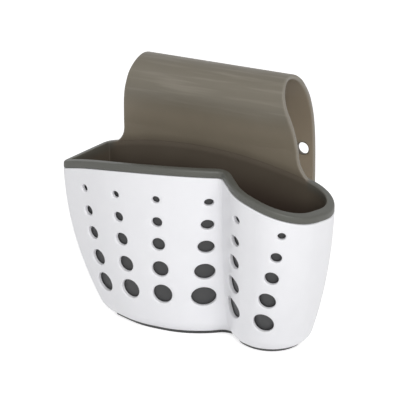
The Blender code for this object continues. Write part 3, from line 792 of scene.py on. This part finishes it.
def outline_spot(wall, height, axis, value):
    """Place and directions where the front or left outline passes a value of x or y."""
    outline = wall.outline(height)[:wall.first_back]
    for here, after in zip(outline[:-1], outline[1:]):
        low, high = sorted((here[axis], after[axis]))
        if low <= value < high and (axis == 1 or here[1] < 0.0):
            share = (value - here[axis]) / (after[axis] - here[axis])
            spot = here + (after - here) * share
            along = (after - here) / np.hypot(*(after - here))
            return (*spot, height), (*along, 0.0), (along[1], -along[0], 0.0)
    raise ValueError("the outline does not pass there")


def oval_spots():
    """All oval openings of the sleeve."""
    spots = []
    columns = [(0, column) for column in FRONT_COLUMNS] + [(1, SIDE_COLUMN)]
    for axis, (top, bottom, breadth) in columns:
        for share in ROW_STEP_SHARES:
            value = (top + (bottom - top) * share) * OUTLINE_SIZE
            height = row_height(share, value if axis == 0 else RIM_CORNERS[1][0])
            size = (OVAL_SMALL + (OVAL_LARGE - OVAL_SMALL) * share) * (breadth, 1.0)
            spot, along, outward = outline_spot(sleeve_outer, height, axis, value)
            spots.append((spot, along, outward, (*(size / 2.0), 0.0)))
    return spots


punch_openings(sleeve, "oval", oval_spots(), False, OVAL_SEGMENTS, OVAL_PUNCH, white)
shade(sleeve, SLEEVE_SMOOTH_ANGLE)
settle(sleeve)
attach(sleeve, "sleeve")
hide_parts("outer_shell")

# %% [markdown]
# ## Knobs on the back
# Behind the basket two mushroom knobs stand on the sleeve, which the snap holes of the strap go
# over. They are out of sight in the photograph. Each is a turned profile: a root that flares into
# the wall, a neck and a domed head.

# %% Knobs
SNAP_COLUMN_SHARES = (-0.384, 0.468)
KNOB_ROW_SHARE = 0.70
KNOB_HEIGHT = KNOB_ROW_SHARE * OUTLINE_SIZE
KNOB_NECK_RADIUS = 2.9 * MM
KNOB_NECK_LENGTH = 3.3 * MM
KNOB_HEAD_RADIUS = 4.3 * MM
KNOB_HEAD_LENGTH = 1.9 * MM
KNOB_ROOT = 0.6 * MM
KNOB_EDGE_SHARE = 0.35
KNOB_SEGMENTS = 40
KNOB_ARC_STEPS = 7


def knob_profile():
    """Radius and distance from the wall, from the root to the middle of the head."""
    points = [(KNOB_NECK_RADIUS + KNOB_ROOT, -KNOB_ROOT)]
    for angle in np.linspace(0.0, math.pi / 2.0, KNOB_ARC_STEPS):
        points.append((KNOB_NECK_RADIUS + KNOB_ROOT * (1.0 - math.sin(angle)),
                       KNOB_ROOT * (1.0 - math.cos(angle))))
    points.append((KNOB_NECK_RADIUS, KNOB_NECK_LENGTH))
    shoulder = KNOB_NECK_LENGTH + KNOB_HEAD_LENGTH * KNOB_EDGE_SHARE
    points.append((KNOB_HEAD_RADIUS, shoulder))
    dome = KNOB_HEAD_LENGTH * (1.0 - KNOB_EDGE_SHARE)
    for angle in np.linspace(0.0, math.pi / 2.0, KNOB_ARC_STEPS + 1)[1:]:
        points.append((KNOB_HEAD_RADIUS * math.cos(angle), shoulder + dome * math.sin(angle)))
    return points[:-1], shoulder + dome


def build_knobs():
    """Both knobs as one mesh."""
    profile, tip = knob_profile()
    wall = sleeve_outer.outline(KNOB_HEIGHT)[sleeve_outer.first_back][1]
    angles = np.linspace(0.0, 2.0 * math.pi, KNOB_SEGMENTS, endpoint=False)
    vertices = []
    faces = []
    for share in SNAP_COLUMN_SHARES:
        start = len(vertices)
        middle = share * OUTLINE_SIZE
        for radius, out in profile:
            for angle in angles:
                vertices.append((middle + radius * math.cos(angle), wall + out,
                                 KNOB_HEIGHT + radius * math.sin(angle)))
        for face in stack_faces(len(profile), KNOB_SEGMENTS):
            faces.append([start + i for i in face])
        faces.append(range(start, start + KNOB_SEGMENTS))
        top = start + (len(profile) - 1) * KNOB_SEGMENTS
        vertices.append((middle, wall + tip, KNOB_HEIGHT))
        for i in range(KNOB_SEGMENTS):
            faces.append((top + i, top + (i + 1) % KNOB_SEGMENTS, len(vertices) - 1))
    return make_object("back_knobs", vertices, faces)


knobs = build_knobs()
knobs.data.materials.append(white)
shade(knobs, SLEEVE_SMOOTH_ANGLE)
settle(knobs)
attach(knobs, "sleeve")

# %% [markdown]
# ## Liner and strap
# Liner and strap are one moulding, so they are one mesh here as well. It starts at the foot, goes
# up between the sleeve's walls, over the sleeve's top edge as a rim flange with rounded edges, and
# down again as the pocket. At the back, the faces on top of the rim are left out over the width of
# the strap, and the strap's rows start from that opening. So the front of the strap is the back
# wall of the pocket, with no seam, and Subdivision Surface rounds the fillets where the two meet.

# %% Sizes of liner and strap
FIT_GAP = 0.35 * MM
LINER_WALL = 2.0 * MM
LINER_FLOOR = 4.2 * MM
INNER_FILLET = 2.6 * MM
RIM_FLANGE = 3.8 * MM
RIM_EDGE = 1.1 * MM
RIM_INNER_EDGE = 0.8 * MM
FLANGE_UNDER_EDGE = 0.4 * MM
SUPPORT = 0.2 * MM
LINER_OUTER = SLEEVE_WALL + FIT_GAP
LINER_INNER = LINER_OUTER + LINER_WALL
STRAP_BACK = LINER_INNER - STRAP_THICKNESS
STRAP_EDGE = 0.9 * MM
STRAP_FOOT_SHARES = (-0.540, 0.642)
LINER_ARC_POINTS = 9
LINER_STRAIGHT_POINTS = 4
LINER_LEVELS = 24
LINER_FILLET_STEPS = 6
COLUMN_SHARES = (0.0, 0.007, 0.025, *np.linspace(0.055, 0.945, 27), 0.975, 0.993, 1.0)
SIDE_ANGLES = np.radians((38.0, 90.0, 142.0))


def fit_back_shares():
    """Shares of the back edge, from the right, at which the strap's columns stand."""
    corners, radii = inset_corners(RIM_CORNERS[:, :2], RIM_CORNERS[:, 2], LINER_INNER)
    right = corner_arc(corners, radii, len(corners) - 1, 2)[-1][0]
    left = corner_arc(corners, radii, 0, 2)[0][0]
    left_foot, right_foot = np.array(STRAP_FOOT_SHARES) * OUTLINE_SIZE
    start = (right - right_foot + STRAP_EDGE) / (right - left)
    end = (right - left_foot - STRAP_EDGE) / (right - left)
    return start + (end - start) * np.array(COLUMN_SHARES)


liner_detail = (LINER_ARC_POINTS, LINER_STRAIGHT_POINTS, fit_back_shares())
print("Columns of the strap:", len(COLUMN_SHARES))

# %% [markdown]
# ## Rows of the liner
# The rows follow a walk over the section of the liner: the foot, the outer wall, the rim, and the
# pocket down to its floor. Every round edge is a quarter arc of a few rows. On top of the rim, the
# columns behind the strap follow the strap's own faces, so that it can rise from them.

# %% Rows of the liner
RIM_TINT_INSIDE = 0.7
FOOT_FACE_INSET = 0.8 * MM
UNDER_EDGE_STEPS = 2
RIM_EDGE_STEPS = 4
RIM_INNER_STEPS = 3
FLOOR_FILLET_STEPS = 4


@functools.cache
def liner_wall(depth):
    """Wall at a depth, kept so that each one is worked out once."""
    return Wall(depth, *liner_detail)


def edge_arc(radius, steps):
    """Inwards and upwards shares of a quarter round, from the side to the top."""
    angles = np.linspace(0.0, math.pi / 2.0, steps + 1)
    return np.column_stack([1.0 - np.cos(angles), np.sin(angles) - 1.0]) * radius


def liner_rows():
    """Rows of the liner, their shares of wall and rim, and the rows beside the strap."""
    top = FIT_GAP + RIM_FLANGE
    base = liner_wall(LINER_OUTER)
    inside = liner_wall(LINER_INNER)
    shoulder = on_fillet(LINER_OUTER, FOOT_INSET)
    levels = np.linspace(BOTTOM_FILLET, RIM_HEIGHT, LINER_LEVELS + 1)[:-1]
    rows = [base.flat(0.0, FOOT_INSET + FOOT_FACE_INSET), base.flat(0.0, FOOT_INSET + SUPPORT),
            base.flat(SUPPORT, FOOT_INSET), base.flat(shoulder - SUPPORT, FOOT_INSET)]
    rows.extend([base.ring(h) for h in fillet_levels(LINER_OUTER, shoulder, LINER_FILLET_STEPS)])
    rows.extend([base.ring(h) for h in levels])
    rows.append(base.ring(RIM_HEIGHT, FIT_GAP - SUPPORT))
    outside = len(rows)
    rows.append(liner_wall(LINER_OUTER - SUPPORT).ring(RIM_HEIGHT, FIT_GAP))
    for inwards, upwards in reversed(edge_arc(FLANGE_UNDER_EDGE, UNDER_EDGE_STEPS)):
        rows.append(liner_wall(inwards).ring(RIM_HEIGHT, FIT_GAP - upwards))
    for inwards, upwards in edge_arc(RIM_EDGE, RIM_EDGE_STEPS):
        rows.append(liner_wall(inwards).ring(RIM_HEIGHT, top + upwards))
    behind = len(rows)
    thickness_shares = np.concatenate([[0.0], (1.0 - np.cos(SIDE_ANGLES)) / 2.0, [1.0]])
    rim_width = STRAP_THICKNESS - RIM_INNER_EDGE
    for share in thickness_shares:
        rows.append(mixed_row(STRAP_BACK + rim_width * share,
                              STRAP_BACK + STRAP_THICKNESS * share, top))
    ahead = len(rows) - 1
    for inwards, upwards in reversed(edge_arc(RIM_INNER_EDGE, RIM_INNER_STEPS)[:-1]):
        rows.append(mixed_row(LINER_INNER - inwards, LINER_INNER, top + upwards))
    rows.extend([inside.ring(h) for h in reversed(levels) if h > LINER_FLOOR + INNER_FILLET])
    inset = on_fillet(LINER_INNER, LINER_FLOOR + INNER_FILLET)
    for inwards, upwards in edge_arc(INNER_FILLET, FLOOR_FILLET_STEPS):
        rows.append(inside.flat(LINER_FLOOR - upwards, inset + inwards))
    # The wall share marks the outer wall and the foot, which the finish paints dark as shade behind
    # the sleeve.
    wall, rim = np.zeros((2, len(rows)))
    wall[:outside] = 1.0
    rim[outside:ahead + 1] = 1.0
    rim[ahead + 1:ahead + 1 + RIM_INNER_STEPS] = RIM_TINT_INSIDE
    return rows, wall, rim, behind, ahead


def mixed_row(depth, strap_depth, lift):
    """Rim row that lies deeper where the strap stands."""
    row = liner_wall(depth).ring(RIM_HEIGHT, lift)
    first = liner_wall(depth).first_back
    row[first:] = liner_wall(strap_depth).ring(RIM_HEIGHT, lift)[first:]
    return row


# %% [markdown]
# ## Rows of the strap
# The strap follows a path seen from the side: from the rim straight up, over the crown in a round
# loop and down behind the basket. Each row is a flat loop: the front from right to left, a rounded
# side edge, the back, and the other edge. Between the rim and the straight part the rows flare out
# to both feet.

# %% Rows of the strap
SPAN_STEPS = 3
PANEL_ROWS = 11
PANEL_POWER = 1.5
LEFT_FILLET_POWER = 3.2
RIGHT_FILLET_POWER = 2.6
FLAP_END_RADIUS = 8.0 * MM
FLAP_END_STEPS = 6
FLAP_TIP_SHARE = 0.3


def spline(table):
    """Smooth curve through the rows of a table."""
    padded = np.vstack([2.0 * table[0] - table[1], table, 2.0 * table[-1] - table[-2]])
    rows = [table[0]]
    for i in range(len(table) - 1):
        p0, p1, p2, p3 = padded[i], padded[i + 1], padded[i + 2], padded[i + 3]
        for t in np.linspace(0.0, 1.0, SPAN_STEPS + 1)[1:]:
            rows.append(0.5 * (2.0 * p1 + (p2 - p0) * t
                               + (2.0 * p0 - 5.0 * p1 + 4.0 * p2 - p3) * t ** 2
                               + (3.0 * p1 - p0 - 3.0 * p2 + p3) * t ** 3))
    return np.array(rows)


strap_path = spline(np.array(STRAP_PATH_SHARES) * OUTLINE_SIZE)
print("Rows on the strap's path:", len(strap_path))


def strap_loop(outer, inner, left_edge, right_edge):
    """Closed loop of a strap row: front, left edge, back and right edge."""
    width = right_edge - left_edge - 2.0 * STRAP_EDGE
    across = right_edge - STRAP_EDGE - width * np.array(COLUMN_SHARES)
    front = np.column_stack([across, np.tile(outer, (len(across), 1))])
    back = np.column_stack([across, np.tile(inner, (len(across), 1))])
    middle = (outer + inner) / 2.0
    left = []
    right = []
    for angle in SIDE_ANGLES:
        spot = middle + (outer - middle) * math.cos(angle)
        bulge = STRAP_EDGE * math.sin(angle)
        left.append((across[-1] - bulge, *spot))
        right.append((across[0] + bulge, *spot))
    return np.concatenate([front, left, back[::-1], right[::-1]])


def foot_loop(rows, behind, first_back):
    """Loop of the strap's foot, taken from the rows on top of the rim, as point numbers."""
    size = len(rows[0])
    columns = np.arange(first_back, size)
    ahead = behind + len(SIDE_ANGLES) + 1
    front = ahead * size + columns
    left = [row * size + columns[-1] for row in range(ahead - 1, behind, -1)]
    back = behind * size + columns[::-1]
    right = [row * size + columns[0] for row in range(behind + 1, ahead)]
    return np.concatenate([front, left, back, right])


def panel_loops(foot, top):
    """Loops between the rim and the straight part, flared at both sides."""
    right_share = np.clip((top[:, 0] - top[:, 0].min()) / np.ptp(top[:, 0]), 0.0, 1.0)
    loops = []
    for share in (np.arange(1, PANEL_ROWS) / PANEL_ROWS) ** PANEL_POWER:
        left_decay = (1.0 - share) ** LEFT_FILLET_POWER
        right_decay = (1.0 - share) ** RIGHT_FILLET_POWER
        decay = left_decay + (right_decay - left_decay) * right_share
        x = top[:, 0] + (foot[:, 0] - top[:, 0]) * decay
        rest = foot[:, 1:] + (top[:, 1:] - foot[:, 1:]) * share
        loops.append(np.column_stack([x, rest]))
    return loops


def strap_loops():
    """Loops from above the rim to the rounded end of the flap."""
    slope = np.gradient(strap_path[:, :2], axis=0)
    slope = slope / np.hypot(slope[:, 0], slope[:, 1])[:, None]
    inner = strap_path[:, :2] + STRAP_THICKNESS * np.stack([slope[:, 1], -slope[:, 0]], 1)
    loops = [strap_loop(row[:2], back, *row[2:]) for row, back in zip(strap_path, inner)]
    straight = FLAP_END_RADIUS - STRAP_EDGE
    ends = [(straight * math.sin(angle), 1.0, FLAP_END_RADIUS * (1.0 - math.cos(angle)))
            for angle in np.linspace(0.0, math.pi / 2.0, FLAP_END_STEPS + 1)[1:]]
    ends.append((straight + STRAP_EDGE * math.sin(SIDE_ANGLES[0]), math.cos(SIDE_ANGLES[0]),
                 FLAP_END_RADIUS))
    ends.append((FLAP_END_RADIUS, FLAP_TIP_SHARE, FLAP_END_RADIUS))
    end_faces = np.array((strap_path[-1, :2], inner[-1]))
    middle = end_faces.mean(axis=0)
    for drop, thickness_share, narrower in ends:
        outer, back = middle + (end_faces - middle) * thickness_share - (0.0, drop)
        edges = (strap_path[-1, 2] + narrower, strap_path[-1, 3] - narrower)
        loops.append(strap_loop(outer, back, *edges))
    return loops


# %% [markdown]
# ## One mesh for the moulding
# The rows of the liner and the loops of the strap become one mesh. While the rows are still known
# by number, the shares that the smoke finish reads are painted on their points: outer wall and foot
# (painted shade), rim, height above the rim (painted shade in the pocket, painted light above it),
# the side that faces the loop (painted light) and thin edges (painted highlight).

# %% Build the moulding
LOOP_SIDE_FIRST = 12
LOOP_SIDE_DEPTHS = np.array((9.0, 18.0)) * MM
THIN_EDGE_SHARE = 0.3
LOOP_COLUMNS = len(COLUMN_SHARES)
LOOP_BACK = LOOP_COLUMNS + len(SIDE_ANGLES)
LOOP_RIGHT = LOOP_BACK + LOOP_COLUMNS


def build_moulding():
    """Liner and strap as one mesh, still open at the foot and at the floor."""
    rows, wall, rim, behind, ahead = liner_rows()
    size = len(rows[0])
    first_back = liner_wall(LINER_INNER).first_back
    vertices = np.concatenate(rows)
    foot_numbers = foot_loop(rows, behind, first_back)
    flare = strap_loop(np.zeros(2), np.zeros(2), -STRAP_EDGE * 2.0, STRAP_EDGE * 2.0)[:, 0]
    vertices[foot_numbers, 0] += np.sign(flare) * np.maximum(np.abs(flare) - STRAP_EDGE, 0.0)
    upper = strap_loops()
    panel = panel_loops(vertices[foot_numbers], upper[0])
    loops = np.array(panel + upper)
    count = len(foot_numbers)
    faces = [face for number, face in enumerate(stack_faces(len(rows), size))
             if not (behind <= number // size < ahead and first_back <= number % size < size - 1)]
    numbers = np.arange(len(loops) * count).reshape(len(loops), count) + len(vertices)
    faces.extend(join_rows(np.vstack([foot_numbers, numbers])))
    last = numbers[-1]
    back_row = last[LOOP_BACK:LOOP_RIGHT][::-1]
    for i in range(LOOP_COLUMNS - 1):
        faces.append((last[i], last[i + 1], back_row[i + 1], back_row[i]))
    faces.append(last[LOOP_COLUMNS - 1:LOOP_BACK + 1])
    faces.append(np.append(last[LOOP_RIGHT - 1:], last[0]))
    vertices = np.concatenate([vertices, *loops])
    obj = make_object("liner_and_strap", vertices, faces)

    on_rows = np.zeros(len(rows) * size)
    # Outer wall and foot: painted shade behind the sleeve; rim: the rim's own grey.
    for name, shares in (("outer_wall_shade", wall), ("rim", rim)):
        painted = np.tile(shares[:, None], (1, size))
        painted[behind:, first_back:] = 0.0
        put_attribute(obj, name, np.append(painted, np.zeros(len(loops) * count)))
    # Height above the rim, which the finish turns into painted shade in the pocket and painted light
    # on the panel above it.
    above = vertices[:, 2] - rim_line(vertices[:, 0])
    crown_loop = int(np.argmax(loops[:, :, 2].max(axis=1)))
    above[len(on_rows) + crown_loop * count:] = above.max()
    put_attribute(obj, "above_rim", above)
    # Painted light on the flap's side that faces the loop, where light comes through the rubber.
    loop_side_light = np.zeros((len(loops), count))
    facing = (slice(len(panel) + LOOP_SIDE_FIRST, None), slice(LOOP_BACK, LOOP_RIGHT))
    loop_side_light[facing] = np.interp(loops[..., 1][facing], LOOP_SIDE_DEPTHS, (0.0, 1.0))
    put_attribute(obj, "loop_side_light", np.append(on_rows, loop_side_light))
    # Painted highlight along the strap's thin rounded edges, where they catch the light and light
    # comes through them.
    edges = np.zeros(count)
    edges[LOOP_COLUMNS:LOOP_BACK] = np.sin(SIDE_ANGLES)
    edges[LOOP_RIGHT:] = np.sin(SIDE_ANGLES)
    edges[[0, LOOP_COLUMNS - 1, LOOP_BACK, LOOP_RIGHT - 1]] = THIN_EDGE_SHARE
    on_rows[foot_numbers] = edges * THIN_EDGE_SHARE
    put_attribute(obj, "thin_edge_highlight", np.append(on_rows, np.tile(edges, len(loops))))
    return obj


def round_off(obj):
    """One level of subdivision, baked."""
    modifier = obj.modifiers.new("round", "SUBSURF")
    modifier.levels = 1
    modifier.render_levels = 1
    bake(obj)


def fill_ends(obj):
    """Closes the foot and the floor with flat faces."""
    work = bmesh.new()
    work.from_mesh(obj.data)
    rims = [edge for edge in work.edges if edge.is_boundary]
    bmesh.ops.holes_fill(work, edges=rims, sides=0)
    bmesh.ops.recalc_face_normals(work, faces=work.faces)
    open_edges = sum(1 for edge in work.edges if not edge.is_manifold)
    work.to_mesh(obj.data)
    work.free()
    print("Open edges after filling:", open_edges)


moulding = build_moulding()
round_off(moulding)
fill_ends(moulding)

# %% [markdown]
# ## Drains and snap holes
# The same punch cuts six drains through the floor and four snap holes through the strap. Here it is
# the two-sided punch, which rounds the edge on both faces. The finished points also keep their rest
# places, for the pattern of the smoke finish.

# %% Drains and snap holes
DRAIN_RADIUS = 2.4 * MM
DRAIN_SEGMENTS = 36
DRAIN_SPOT_SHARES = ((-0.300, -0.055), (-0.150, -0.070), (0.0, -0.075), (0.130, -0.055),
                     (0.420, -0.085), (0.560, -0.090))
DRAIN_PUNCH = {"Edge Radius": 0.5 * MM, "Wall": LINER_FLOOR, "Reach": 3.0 * MM}
SNAP_HOLE_RADIUS = 3.35 * MM
SNAP_SEGMENTS = 44
SNAP_ROW_SHARES = (0.96, 0.74)
SNAP_PUNCH = {"Edge Radius": 0.6 * MM, "Wall": STRAP_THICKNESS, "Reach": 4.0 * MM}
MOULDING_SMOOTH_ANGLE = 50.0


def round_spot(spot, outward, radius):
    """Row of the table of spots for a round hole."""
    return spot, (1.0, 0.0, 0.0), outward, (radius, radius, 0.0)


drain_spots = []
for along, across in DRAIN_SPOT_SHARES:
    spot = (along * OUTLINE_SIZE, across * OUTLINE_SIZE, LINER_FLOOR)
    drain_spots.append(round_spot(spot, (0.0, 0.0, 1.0), DRAIN_RADIUS))
punch_openings(moulding, "drain", drain_spots, True, DRAIN_SEGMENTS, DRAIN_PUNCH, smoke)

flap_path = strap_path[np.argmax(strap_path[:, 1]):]
snap_spots = []
for row_share in SNAP_ROW_SHARES:
    height = row_share * OUTLINE_SIZE
    depth = np.interp(-height, -flap_path[:, 1], flap_path[:, 0])
    for column_share in SNAP_COLUMN_SHARES:
        spot = (column_share * OUTLINE_SIZE, depth, height)
        snap_spots.append(round_spot(spot, (0.0, 1.0, 0.0), SNAP_HOLE_RADIUS))
punch_openings(moulding, "snap", snap_spots, True, SNAP_SEGMENTS, SNAP_PUNCH, smoke)
shade(moulding, MOULDING_SMOOTH_ANGLE)
settle(moulding)
put_attribute(moulding, "rest_spot", [vertex.co for vertex in moulding.data.vertices])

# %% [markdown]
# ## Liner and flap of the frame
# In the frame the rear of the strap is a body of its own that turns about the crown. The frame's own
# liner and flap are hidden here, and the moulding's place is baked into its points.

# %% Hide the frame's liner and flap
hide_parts("liner", "strap_flap")
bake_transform(moulding)

# %% [markdown]
# ## Floor, background and light
# The photograph has a plain white background. The floor is a large pale sheet that shows white to
# the camera and keeps a soft shadow, and the world shows white to the camera and in reflections.
# The light itself stays soft and plain, so that each colour comes out about as it is written.

# %% Stage
FLOOR_SIZE = 3.0
FLOOR_GAP = 0.1 * MM
FLOOR_COLOUR = (0.9, 0.9, 0.9, 1.0)
FLOOR_ROUGHNESS = 0.9
FLOOR_GLOW = 0.62
WORLD_LIGHT = 0.41
PURE_WHITE = (1.0, 1.0, 1.0, 1.0)
LAMPS = (
    ("key_lamp", (0.98, -0.92, 0.85), 1.1, 13.8),
    ("fill_lamp", (-0.9, -0.9, 0.7), 0.9, 2.0),
)


def seen_share(tree):
    """One for rays that show a surface to the camera, and none for rays that light another."""
    path = tree.add("ShaderNodeLightPath")
    seen = tree.number("MAXIMUM", path["Is Camera Ray"], path["Is Glossy Ray"])
    return tree.number("MAXIMUM", seen, path["Is Transmission Ray"])


def make_floor():
    """Large pale floor."""
    low = FLOOR_SIZE / 2.0
    corners = [(x, y, -FLOOR_GAP) for x, y in ((-low, -low), (low, -low), (low, low), (-low, low))]
    obj = make_object("floor", corners, [(0, 1, 2, 3)])
    material = bpy.data.materials.new("floor_pale")
    material.use_nodes = True
    tree = Tree(material.node_tree)
    shader = material.node_tree.nodes["Principled BSDF"].inputs
    shader["Base Color"].default_value = FLOOR_COLOUR
    shader["Roughness"].default_value = FLOOR_ROUGHNESS
    shader["Emission Color"].default_value = PURE_WHITE
    glow = tree.number("MULTIPLY", seen_share(tree), FLOOR_GLOW)
    tree.feed(glow, shader["Emission Strength"])
    obj.data.materials.append(material)
    return obj


def make_world():
    """White to the camera, plain grey light for everything else."""
    world = bpy.data.worlds.new("studio")
    bpy.context.scene.world = world
    world.use_nodes = True
    tree = Tree(world.node_tree)
    background = world.node_tree.nodes["Background"].inputs
    background["Color"].default_value = PURE_WHITE
    extra = tree.number("MULTIPLY", seen_share(tree), 1.0 - WORLD_LIGHT)
    tree.feed(tree.number("ADD", extra, WORLD_LIGHT), background["Strength"])


def make_lamp(name, place_m, size_m, power):
    """Soft square lamp that looks at the object."""
    data = bpy.data.lights.new(name, "AREA")
    data.energy = power
    data.size = size_m
    lamp = bpy.data.objects.new(name, data)
    lamp.location = place_m
    lamp.rotation_euler = (CAMERA_TARGET - Vector(place_m)).to_track_quat("-Z", "Y").to_euler()
    bpy.context.scene.collection.objects.link(lamp)


floor = make_floor()
make_world()
for lamp_row in LAMPS:
    make_lamp(*lamp_row)
bpy.context.scene.view_settings.view_transform = "Standard"
print("World light and lamps:", WORLD_LIGHT, len(LAMPS))
